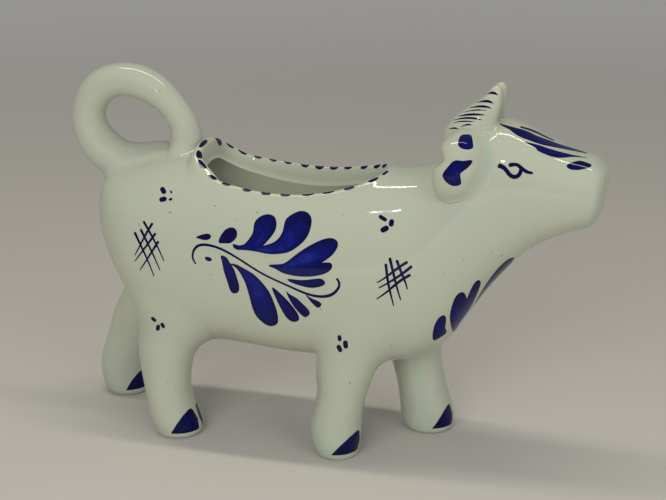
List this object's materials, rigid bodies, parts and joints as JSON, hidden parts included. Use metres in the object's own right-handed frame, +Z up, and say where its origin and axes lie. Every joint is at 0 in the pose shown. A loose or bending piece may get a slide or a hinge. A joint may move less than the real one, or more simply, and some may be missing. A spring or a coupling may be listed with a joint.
{
  "type": "cow creamer",
  "caption": "Ceramic cream jug shaped as a walking cow: filled through an opening in the back, poured through the mouth, held by a looped tail.",
  "frame": {"origin": "middle of the rectangle that the cow covers, at the height of its soles", "axes": "+X towards the muzzle, +Y to the cow's left, +Z up"},
  "size_m": [0.1757, 0.049, 0.1193],
  "materials": {
    "glazed_earthenware": "glossy glaze over cobalt brushwork"
  },
  "bodies": {
    "root": {"body": "glazed_earthenware", "head": "glazed_earthenware", "tail_loop": "glazed_earthenware", "right_front_leg": "glazed_earthenware", "left_front_leg": "glazed_earthenware", "right_hind_leg": "glazed_earthenware", "left_hind_leg": "glazed_earthenware", "right_ear": "glazed_earthenware", "left_ear": "glazed_earthenware", "right_horn": "glazed_earthenware", "left_horn": "glazed_earthenware"}
  },
  "joints": []
}
